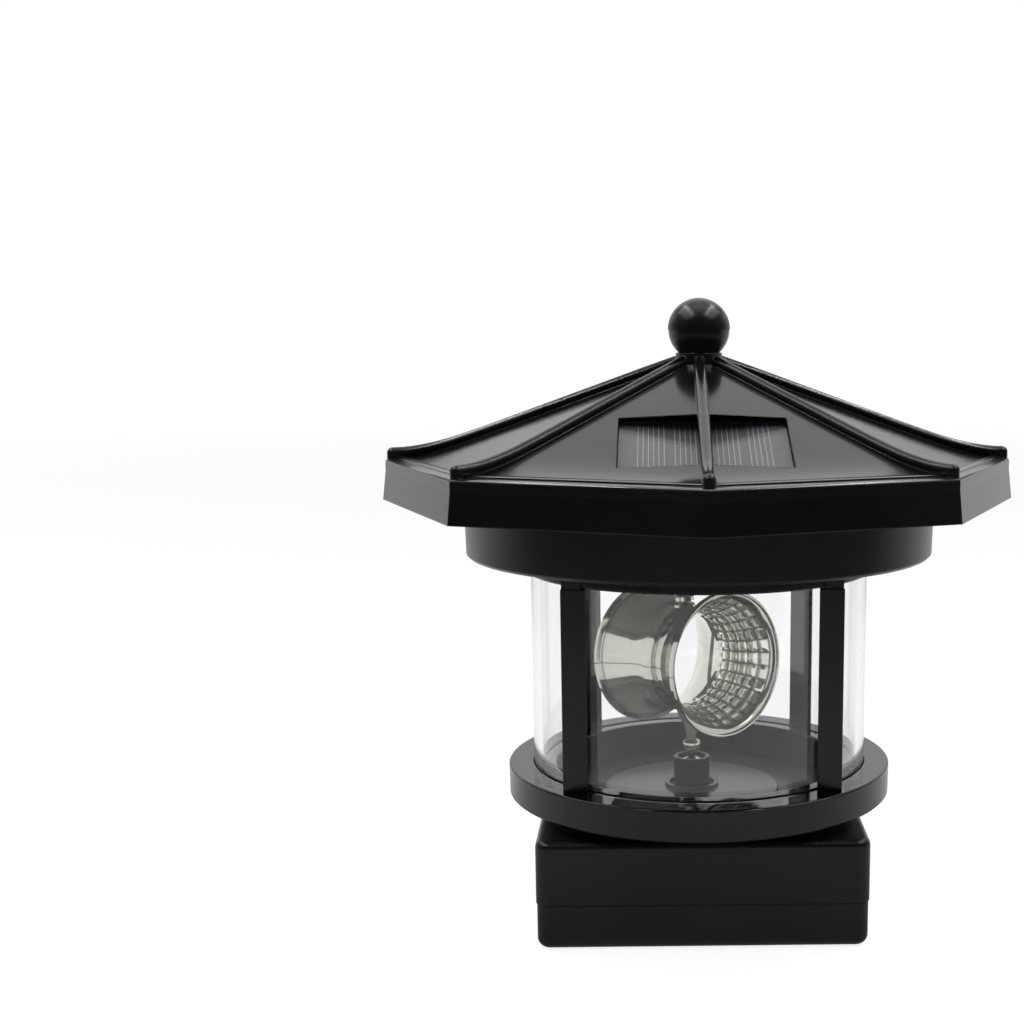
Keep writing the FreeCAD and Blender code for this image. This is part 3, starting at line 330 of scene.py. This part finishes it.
def bell_cells():
    """Bell from the throat through the rows of cells to the rim: (s, radius, place in the row,
    whether it is part of a cell)."""
    out = [(ROW_LOW + (ROW_HIGH - ROW_LOW) * i / (ROWS * SUB), (i % SUB) / SUB, 1) for i in range(ROWS * SUB + 1)]
    out.append((12.8, 0.0, 0))
    return [(s, bell_radius(s), v, on) for s, v, on in out]


def lens_frame():
    """Middle of the bore and the lens's own directions (across, up, along), lean included."""
    c, s = math.cos(LEAN), math.sin(LEAN)
    st, ct = math.sin(TURN), math.cos(TURN)
    mid = (AX - (LZ - BEND) * s, 0.0, BEND + (LZ - BEND) * c)
    return mid, (ct * c, st, ct * s), (-s, 0.0, c), (st * c, -ct, st * s)


def cell_shade_glints_and_seam(m):
    """Darker borders round the pressed cells, painted shade over the real grooves; a painted glint of its own random
    strength on each cell; painted light on the plain back bell; and the line where the two halves meet."""
    mid, across, up, along = lens_frame()
    off = m.n.new("ShaderNodeVectorMath")
    off.operation = "SUBTRACT"
    off.inputs[1].default_value = [v * MM for v in mid]
    m.l.new(m.co, off.inputs[0])

    def part(axis):
        d = m.n.new("ShaderNodeVectorMath")
        d.operation = "DOT_PRODUCT"
        d.inputs[1].default_value = axis
        m.l.new(off.outputs[0], d.inputs[0])
        return calc(m.t, "MULTIPLY", d.outputs["Value"], 1000.0)

    x, y, bore = part(across), part(up), part(along)
    z = calc(m.t, "ABSOLUTE", bore)
    r = calc(m.t, "SQRT", calc(m.t, "ADD", calc(m.t, "MULTIPLY", x, x), calc(m.t, "MULTIPLY", y, y)))
    t = calc(m.t, "DIVIDE", calc(m.t, "SUBTRACT", z, 0.6), 12.2)
    wall = calc(m.t, "ADD", THROAT + 0.55, calc(m.t, "MULTIPLY", BELL - THROAT, calc(m.t, "POWER", calc(m.t, "MAXIMUM", t, 0.0), 1.7)))
    inside = calc(m.t, "MULTIPLY", calc(m.t, "LESS_THAN", r, wall),
                  calc(m.t, "MULTIPLY", calc(m.t, "LESS_THAN", bore, ROW_HIGH), calc(m.t, "GREATER_THAN", bore, ROW_LOW)))
    u = calc(m.t, "MULTIPLY", calc(m.t, "ARCTAN2", y, x), AROUND / (2 * math.pi))
    v = calc(m.t, "MULTIPLY", calc(m.t, "SUBTRACT", z, ROW_LOW), ROWS / (ROW_HIGH - ROW_LOW))

    def border(w):
        return calc(m.t, "ABSOLUTE", calc(m.t, "SUBTRACT", calc(m.t, "MULTIPLY", calc(m.t, "FRACT", w), 2.0), 1.0))

    # painted shade: the borders of the cells darken, over the real grooves
    edge = ease(m.t, calc(m.t, "MAXIMUM", border(u), border(v)), 0.70, 0.94, 0.0, 1.0)
    cell_id = m.n.new("ShaderNodeCombineXYZ")
    m.l.new(calc(m.t, "FLOOR", u), cell_id.inputs["X"])
    m.l.new(calc(m.t, "FLOOR", v), cell_id.inputs["Y"])
    chance = m.n.new("ShaderNodeTexWhiteNoise")
    chance.noise_dimensions = "2D"
    m.l.new(cell_id.outputs[0], chance.inputs["Vector"])
    # painted glints: each cell is made lighter by its own random amount
    tone = calc(m.t, "ADD", 1.12, calc(m.t, "MULTIPLY", chance.outputs["Value"], 0.60))
    tone = calc(m.t, "MULTIPLY", tone, calc(m.t, "SUBTRACT", 1.0, calc(m.t, "MULTIPLY", edge, 0.72)))
    keep = calc(m.t, "ADD", calc(m.t, "MULTIPLY", inside, calc(m.t, "SUBTRACT", tone, 1.0)), 1.0)
    # the plain back bell: painted light makes it lighter, with fine darker turning rings
    plain = calc(m.t, "MULTIPLY", calc(m.t, "LESS_THAN", r, wall), calc(m.t, "LESS_THAN", bore, ROW_LOW))
    rings = calc(m.t, "MULTIPLY", ease(m.t, border(calc(m.t, "MULTIPLY", z, 0.9)), 0.80, 0.97, 0.0, 1.0), -0.22)
    keep = calc(m.t, "ADD", keep, calc(m.t, "MULTIPLY", plain, calc(m.t, "ADD", rings, 0.36)))
    outer = calc(m.t, "GREATER_THAN", r, wall)
    seam = calc(m.t, "MULTIPLY", ease(m.t, calc(m.t, "ABSOLUTE", y), 0.05, 0.16, 0.70, 0.0), outer)
    keep = calc(m.t, "MULTIPLY", keep, calc(m.t, "SUBTRACT", 1.0, seam))
    ridge = ease(m.t, calc(m.t, "ABSOLUTE", calc(m.t, "SUBTRACT", z, 12.3)), 0.10, 0.34, 0.50, 0.0)
    keep = calc(m.t, "MULTIPLY", keep, calc(m.t, "SUBTRACT", 1.0, calc(m.t, "MULTIPLY", ridge, outer)))
    shade = m.n.new("ShaderNodeVectorMath")
    shade.operation = "SCALE"
    m.l.new(m.b.inputs["Base Color"].links[0].from_socket, shade.inputs[0])
    m.l.new(keep, shade.inputs["Scale"])
    m.colour(shade.outputs[0])


cell_shade_glints_and_seam(smoke)


def lens_half(upper):
    """One moulded half: closed section swept through half a turn, with pillowed square cells pressed into the front
    bell."""
    cells = bell_cells()
    # the front bell is pressed into cells, the back one is plain
    front = [(r, s, v, bool(on)) for s, r, v, on in cells]
    loop = [(r, -s, v, False) for s, r, v, on in reversed(cells)] + front
    loop += [(MOUTH - 0.15, LH - 0.80, 0, False), (MOUTH + 0.15, LH - 0.65, 0, False), (MOUTH + 0.25, LH - 0.10, 0, False),
             (MOUTH + 0.35, LH, 0, False), (FL - 0.25, LH, 0, False), (FL, LH - 0.3, 0, False),
             (FL, LH - 1.2, 0, False), (FL - 0.9, LH - 1.5, 0, False)]
    for i in range(1, 10):
        t = i / 10
        loop.append((FL - 0.9 + (11.9 - FL + 0.9) * t, LH - 1.5 + (4.4 - LH + 1.5) * t, 0, False))
    loop += [(11.9, 4.4, 0, False), (11.9, 1.6, 0, False), (BAND, 1.6, 0, False), (BAND, 1.4, 0, False),
             (BAND, -1.4, 0, False), (BAND, -1.6, 0, False), (11.9, -1.6, 0, False), (11.9, -4.4, 0, False)]
    for i in range(9, 0, -1):
        t = i / 10
        loop.append((FL - 0.9 + (11.9 - FL + 0.9) * t, -(LH - 1.5 + (4.4 - LH + 1.5) * t), 0, False))
    loop += [(FL - 0.9, -(LH - 1.5), 0, False), (FL, -(LH - 1.2), 0, False), (FL, -(LH - 0.3), 0, False),
             (FL - 0.25, -LH, 0, False), (MOUTH + 0.35, -LH, 0, False), (MOUTH + 0.25, -(LH - 0.10), 0, False),
             (MOUTH + 0.15, -(LH - 0.65), 0, False), (MOUTH - 0.15, -(LH - 0.80), 0, False)]
    bm = bmesh.new()
    n = AROUND // 2 * SUB
    sign = 1 if upper else -1
    cols = []
    for k in range(n + 1):
        a = math.pi * k / n
        u = (k % SUB) / SUB
        col = []
        for r, s, v, celled in loop:
            if celled:
                pu = 1 - abs(2 * u - 1) ** 3.2 if 0 < u < 1 else 0.0
                pv = 1 - abs(2 * v - 1) ** 3.2 if 0 < v < 1 else 0.0
                r = r + GROOVE * (1 - pu * pv)
            # local x along e1, y along up, z along the bore
            col.append(bm.verts.new((r * math.cos(a), sign * (r * math.sin(a) + 0.02), s)))
        cols.append(col)
    m = len(loop)
    for k in range(n):
        for i in range(m):
            j = (i + 1) % m
            bm.faces.new((cols[k][i], cols[k][j], cols[k + 1][j], cols[k + 1][i]))
    bm.faces.new(cols[0])
    bm.faces.new(list(reversed(cols[n])))
    st, ct = math.sin(TURN), math.cos(TURN)
    for vert in bm.verts:
        x, y, z = vert.co
        vert.co = Vector((AX + x * ct + z * st, x * st - z * ct, LZ + y))
    return bm


def lean_all(bm):
    c, s = math.cos(LEAN), math.sin(LEAN)
    for v in bm.verts:
        x, z = v.co.x - AX, v.co.z - BEND
        v.co.x, v.co.z = AX + x * c - z * s, BEND + z * c + x * s


def mesh_object(bm, name):
    bmesh.ops.recalc_face_normals(bm, faces=bm.faces)
    me = bpy.data.meshes.new(name)
    bm.to_mesh(me)
    bm.free()
    ob = bpy.data.objects.new(name, me)
    scene.collection.objects.link(ob)
    return ob


def union(base, tools, minus=()):
    """Exact union (and then difference) of closed meshes, applied to base."""
    for op, obs in (("UNION", tools), ("DIFFERENCE", minus)):
        for t in obs:
            mod = base.modifiers.new("b", "BOOLEAN")
            mod.operation, mod.solver, mod.object = op, "EXACT", t
            bpy.context.view_layer.update()
            me = bpy.data.meshes.new_from_object(base.evaluated_get(bpy.context.evaluated_depsgraph_get()))
            base.modifiers.clear()
            base.data = me
            bpy.data.objects.remove(t)
    return base


def shifted(pts, leaned=True, seg=64, name="tool"):
    bm = bmesh.new()
    revolve(bm, pts, seg)
    for v in bm.verts:
        v.co.x += AX
    if leaned:
        lean_all(bm)
    return mesh_object(bm, name)


def bore_tool(name):
    bm = bmesh.new()
    revolve(bm, [(0, -20), (THROAT - 0.01, -20), (THROAT - 0.01, 20), (0, 20)], 168)
    st, ct = math.sin(TURN), math.cos(TURN)
    for v in bm.verts:
        x, y, z = v.co
        v.co = Vector((AX + x * ct + z * st, x * st - z * ct, LZ + y))
    lean_all(bm)
    return mesh_object(bm, name)


def lens_piece(name, upper, tools, node):
    bm = lens_half(upper)
    lean_all(bm)
    base = union(mesh_object(bm, name), tools, [bore_tool("bore")])
    bm = bmesh.new()
    bm.from_mesh(base.data)
    bpy.data.objects.remove(base)
    bmesh.ops.scale(bm, vec=(MM, MM, MM), verts=bm.verts)
    bmesh.ops.remove_doubles(bm, verts=bm.verts, dist=1e-7)
    return piece(name + "_moulded", bm, M["smoke_clear"].m, "rotor", [node], 32)


top, low = LZ + BAND, LZ - BAND
boss = shifted([(0, top - 1.2), (3.0, top - 1.2), (2.6, top + 0.3), (1.5, top + 0.9), (2.4, top + 1.2), (2.4, top + 2.1),
                (2.2, top + 2.3), (1.9, top + 2.3), (1.5, top + 1.9), (0, top + 1.8)])
stem = shifted([(0, low + 1.2), (3.4, low + 1.2), (3.0, low - 0.4), (2.1, low - 2.6), (1.55, low - 5.4), (1.2, BEND + 1.4),
                (1.5, BEND + 1.1), (1.95, BEND + 0.85), (2.1, BEND + 0.6), (2.1, BEND - 0.6), (1.95, BEND - 0.85),
                (1.5, BEND - 1.1), (0, BEND - 1.1)])
plug = shifted([(0, BEND - 0.2), (0.9, BEND - 0.2), (0.9, 34.0), (1.6, 33.6), (3.28, 33.2), (3.28, 31.9), (2.6, 31.6),
                (0, 31.6)], leaned=False)
lens_piece("lens_upper", True, [boss], "lens_upper_half")
lens_piece("lens_lower", False, [stem, plug], "lens_lower_half")

# ------------------------------------------------------------- solar board
TILT = math.radians(19.4)
CT, ST = math.cos(TILT), math.sin(TILT)


def slab(bm, x0, x1, u0, u1, n0, n1):
    """Thin block on the sloping board: u runs up the slope, n out of it."""
    vs = []
    for n in (n0, n1):
        for x, u in ((x0, u0), (x1, u0), (x1, u1), (x0, u1)):
            vs.append(bm.verts.new(Vector((x, -49.5 + u * CT - n * ST, 106.05 + u * ST + n * CT)) * MM))
    for f in ((3, 2, 1, 0), (4, 5, 6, 7), (0, 1, 5, 4), (1, 2, 6, 5), (2, 3, 7, 6), (3, 0, 4, 7)):
        bm.faces.new([vs[i] for i in f])


bm = bmesh.new()
slab(bm, -17.6, 17.6, 0.05, 25.2, -2.0, -0.86)
piece("solar_board_plate", bm, M["cell_dark"].m, "housing", ["solar_cell_board"], 30)
STRIPS = [(-10.9, 6), (-3.8, 5), (5.0, 5), (11.6, 5)]
bm = bmesh.new()
for centre, count in STRIPS:
    slab(bm, centre - 3.15, centre + 3.15, 1.0, 24.2, -0.85, -0.83)
piece("solar_cells", bm, M["cell_dark"].m, "housing", (), 30)
bm = bmesh.new()
for centre, count in STRIPS:
    for i in range(count):
        x = centre + (i - (count - 1) / 2) * 1.08
        slab(bm, x - 0.08, x + 0.08, 1.3, 23.9, -0.825, -0.81)
piece("solar_fingers", bm, finger.m, "housing", (), 30)

# ---------------------------------------------------------------- eave lip
# the moulded edge of the roof: a rounded edge over the top of the fascia, a narrow ledge behind it
# and a low raised line where the slope begins: (corner radius, height)
LIP = [(71.70, 101.60), (71.70, 103.62), (71.67, 103.84), (71.59, 104.02), (71.44, 104.17), (71.22, 104.28),
       (70.95, 104.35), (70.40, 104.42), (69.40, 104.55), (69.28, 104.57), (69.25, 104.80), (69.13, 104.86),
       (68.40, 104.95), (67.60, 105.04), (67.46, 104.98), (67.40, 104.45), (69.20, 104.15), (70.60, 103.80),
       (70.90, 101.60)]
lip = plastic("lip_black", (0.0045, 0.0047, 0.0051), (0.0070, 0.0072, 0.0077), 0.19, 0.012, 2600, 1e-7, 5e-6, IOR=2.2)
bm = bmesh.new()
rings = [[bm.verts.new((r * math.cos(math.pi * k / 4) * MM, r * math.sin(math.pi * k / 4) * MM, z * MM)) for r, z in LIP]
         for k in range(8)]
for k in range(8):
    a, b = rings[k], rings[(k + 1) % 8]
    for i in range(len(LIP)):
        j = (i + 1) % len(LIP)
        # the plain part below the rounded edge has the fascia's own finish
        bm.faces.new((a[i], b[i], b[j], a[j])).material_index = 1 if i == 0 else 0
piece("eave_lip", bm, lip.m, "housing", (), 35).data.materials.append(M["black_gloss"].m)

# ------------------------------------------------------------ stage, light
FLOOR_DARK, FLOOR_BACK, FLOOR_POOL = 0.05, 0.74, 0.50
bm = bmesh.new()
rim = [bm.verts.new((9 * math.cos(2 * math.pi * k / 96), 9 * math.sin(2 * math.pi * k / 96), 0)) for k in range(96)]
bm.faces.new(rim)
me = bpy.data.meshes.new("floor")
bm.to_mesh(me)
bm.free()
floor = bpy.data.objects.new("floor", me)
scene.collection.objects.link(floor)
paper = Mat("paper", (0.30, 0.30, 0.30), 0.9)
paper.colour(paper.ramp(paper.noise(3, 3), [(0.3, 0.295), (0.7, 0.305)]))
paper.b.inputs["Specular IOR Level"].default_value = 0.0
paper.b.inputs["Emission Color"].default_value = (1, 1, 1, 1)
paper.b.inputs["Emission Strength"].default_value = 0.38
sp = paper.n.new("ShaderNodeSeparateXYZ")
paper.l.new(paper.co, sp.inputs[0])


# painted light: the paper glows more strongly close to the object, filling in the shade it casts there, and it runs
# into the white backdrop far from the object
away = calc(paper.t, "SQRT", calc(paper.t, "ADD", calc(paper.t, "MULTIPLY", sp.outputs["X"], sp.outputs["X"]),
                                  calc(paper.t, "MULTIPLY", sp.outputs["Y"], sp.outputs["Y"])))
paper.l.new(calc(paper.t, "ADD", ease(paper.t, away, 0.04, 0.16, 0.86, 0.70), ease(paper.t, away, 0.5, 2.6, 0.0, 0.17)),
            paper.b.inputs["Emission Strength"])
# seen in a reflection: a lit patch round the object, dark in front of it, bright behind
rear = ease(paper.t, sp.outputs["Y"], -0.15, 0.35, FLOOR_DARK, FLOOR_BACK)
pool = calc(paper.t, "MULTIPLY", ease(paper.t, away, 0.04, 0.13, 0.15, FLOOR_POOL), ease(paper.t, away, 0.20, 0.50, 1.0, 0.0))
dim = paper.n.new("ShaderNodeEmission")
paper.l.new(calc(paper.t, "ADD", rear, pool), dim.inputs["Strength"])
path_p = paper.n.new("ShaderNodeLightPath")
mix_p = paper.n.new("ShaderNodeMixShader")
paper.l.new(calc(paper.t, "MULTIPLY", path_p.outputs["Is Glossy Ray"], path_p.outputs["Is Reflection Ray"]), mix_p.inputs["Fac"])
paper.l.new(paper.b.outputs[0], mix_p.inputs[1])
paper.l.new(dim.outputs[0], mix_p.inputs[2])
paper.l.new(mix_p.outputs[0], paper.n["Material Output"].inputs["Surface"])
me.materials.append(paper.m)

world = bpy.data.worlds.new("studio")
scene.world = world
world.use_nodes = True
wn, wl = world.node_tree.nodes, world.node_tree.links
tc = wn.new("ShaderNodeTexCoord")
sep = wn.new("ShaderNodeSeparateXYZ")
wl.new(tc.outputs["Generated"], sep.inputs[0])
wt = world.node_tree
sky = calc(wt, "ADD", ease(wt, sep.outputs["Y"], -0.7, 0.0, 0.03, 0.20), ease(wt, sep.outputs["Y"], 0.10, 0.75, 0.0, 0.85))
wide = calc(wt, "ABSOLUTE", sep.outputs["X"])
gap = calc(wt, "SUBTRACT", ease(wt, wide, 0.425, 0.460, 0.0, 0.80), ease(wt, wide, 0.58, 0.75, 0.0, 0.80))
gap = calc(wt, "MULTIPLY", gap, ease(wt, sep.outputs["Z"], 0.30, 0.45, 0.0, 1.0))
sky = calc(wt, "MULTIPLY", sky, calc(wt, "SUBTRACT", 1.0, gap))
sky = calc(wt, "MULTIPLY", sky, ease(wt, sep.outputs["Z"], 0.15, 0.34, 0.56, 1.0))
sky = calc(wt, "ADD", sky, ease(wt, sep.outputs["Z"], 0.60, 0.95, 0.0, 0.25))
sky = calc(wt, "ADD", sky, ease(wt, sep.outputs["Z"], 0.90, 0.985, 0.0, 0.9))
wl.new(sky, wn["Background"].inputs["Strength"])
wn["Background"].inputs["Color"].default_value = (1, 1, 1, 1)
# straight on, and through the clear parts, the backdrop is plain white
white = wn.new("ShaderNodeBackground")
white.inputs["Color"].default_value = (1, 1, 1, 1)
path_w = wn.new("ShaderNodeLightPath")
most = wn.new("ShaderNodeMath")
most.operation = "MAXIMUM"
wl.new(path_w.outputs["Is Camera Ray"], most.inputs[0])
wl.new(path_w.outputs["Is Transmission Ray"], most.inputs[1])
mix_w = wn.new("ShaderNodeMixShader")
wl.new(most.outputs[0], mix_w.inputs["Fac"])
wl.new(wn["Background"].outputs[0], mix_w.inputs[1])
wl.new(white.outputs[0], mix_w.inputs[2])
wl.new(mix_w.outputs[0], wn["World Output"].inputs["Surface"])


def softbox(name, at, to, sx, sy, power, yaw=0.0):
    li = bpy.data.lights.new(name, "AREA")
    li.shape, li.size, li.size_y, li.energy = "RECTANGLE", sx, sy, power
    ob = bpy.data.objects.new(name, li)
    scene.collection.objects.link(ob)
    ob.location = at
    ob.rotation_mode = "QUATERNION"
    ob.rotation_quaternion = Matrix.Rotation(math.radians(yaw), 3, "Z").to_quaternion() @ (Vector(to) - Vector(at)).to_track_quat("-Z", "Y")
    return ob


softbox("over_left", (-0.84, 0.0, 1.10), (-0.84, 0.0, 0.0), 0.62, 1.5, 5.0)
softbox("over_right", (0.84, 0.0, 1.10), (0.84, 0.0, 0.0), 0.62, 1.5, 5.0)
softbox("strip_left", (-0.49, 0.0, 1.08), (-0.49, 0.0, 0.0), 0.06, 1.35, 3.4, 7.7)
softbox("strip_right", (0.49, 0.0, 1.08), (0.49, 0.0, 0.0), 0.06, 1.35, 3.4, -7.7)

# ------------------------------------------------------------------ camera
cam = bpy.data.cameras.new("view")
cam.sensor_width, cam.lens = 36.0, 55.64
cam.shift_x, cam.shift_y = -(698.9 - 512) / 1024, (623 - 512) / 1024
cam.clip_start, cam.clip_end = 0.01, 50
co = bpy.data.objects.new("view", cam)
scene.collection.objects.link(co)
az, el, dist = math.radians(-1.6), math.radians(10.46), 0.3705
back = Vector((math.sin(az) * math.cos(el), -math.cos(az) * math.cos(el), math.sin(el)))
co.location = Vector((0, 0, 0.0659)) + back * dist
co.rotation_mode = "QUATERNION"
co.rotation_quaternion = (-back).to_track_quat("-Z", "Y")
scene.camera = co
scene.view_settings.view_transform = "Standard"
